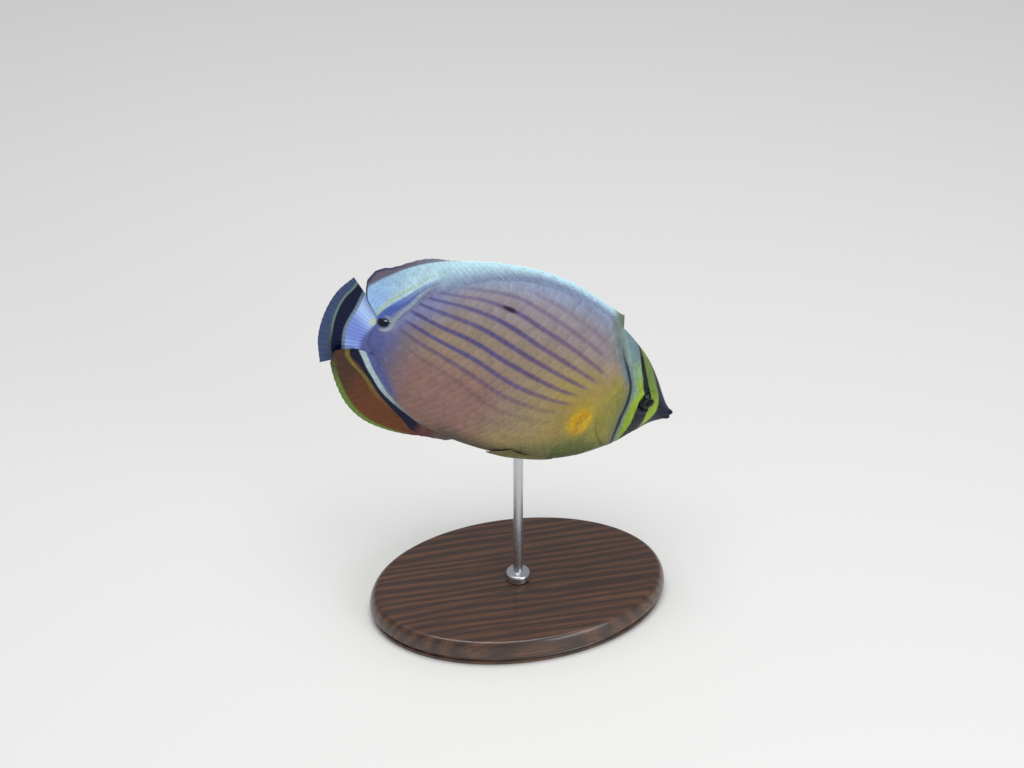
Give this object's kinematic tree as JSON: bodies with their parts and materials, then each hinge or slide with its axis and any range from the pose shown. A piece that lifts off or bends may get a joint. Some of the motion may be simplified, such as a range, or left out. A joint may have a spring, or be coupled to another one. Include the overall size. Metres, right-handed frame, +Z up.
{
  "type": "oval butterflyfish model on a display stand",
  "caption": "Life-size still model of an oval butterflyfish, swimming nose-down, on one steel rod and an oval wooden foot.",
  "frame": {"origin": "centre of the foot's underside, on the axis of the rod", "axes": "+X the way the fish heads, +Z up, +Y to the fish's left"},
  "size_m": [0.1142, 0.066, 0.1379],
  "materials": {
    "skin": "scaly skin, orange-tan with violet stripes, satin wet sheen",
    "eye": "black pupil in a dark ring, glossy cornea",
    "dorsal": "pale blue scaly fin with fine rays",
    "anal": "orange-brown fin with a yellow-green margin and a black stripe",
    "caudal": "pale fin with a black crescent bar and a clear margin",
    "clear_fin": "clear membrane on fine rays, yellow at the root",
    "pelvic": "yellow-olive membrane on fine rays",
    "wood": "dark stained wood, satin varnish",
    "steel": "brushed stainless steel"
  },
  "bodies": {
    "root": {"head": "skin", "trunk": "skin", "tail_stalk": "skin", "eye_left": "eye", "eye_right": "eye", "dorsal_fin": "dorsal", "anal_fin": "anal", "caudal_fin": "caudal", "pectoral_fin_left": "clear_fin", "pectoral_fin_right": "clear_fin", "pelvic_fin_left": "pelvic", "pelvic_fin_right": "pelvic", "stand_base": "wood", "stand_rod": "steel"}
  },
  "joints": []
}
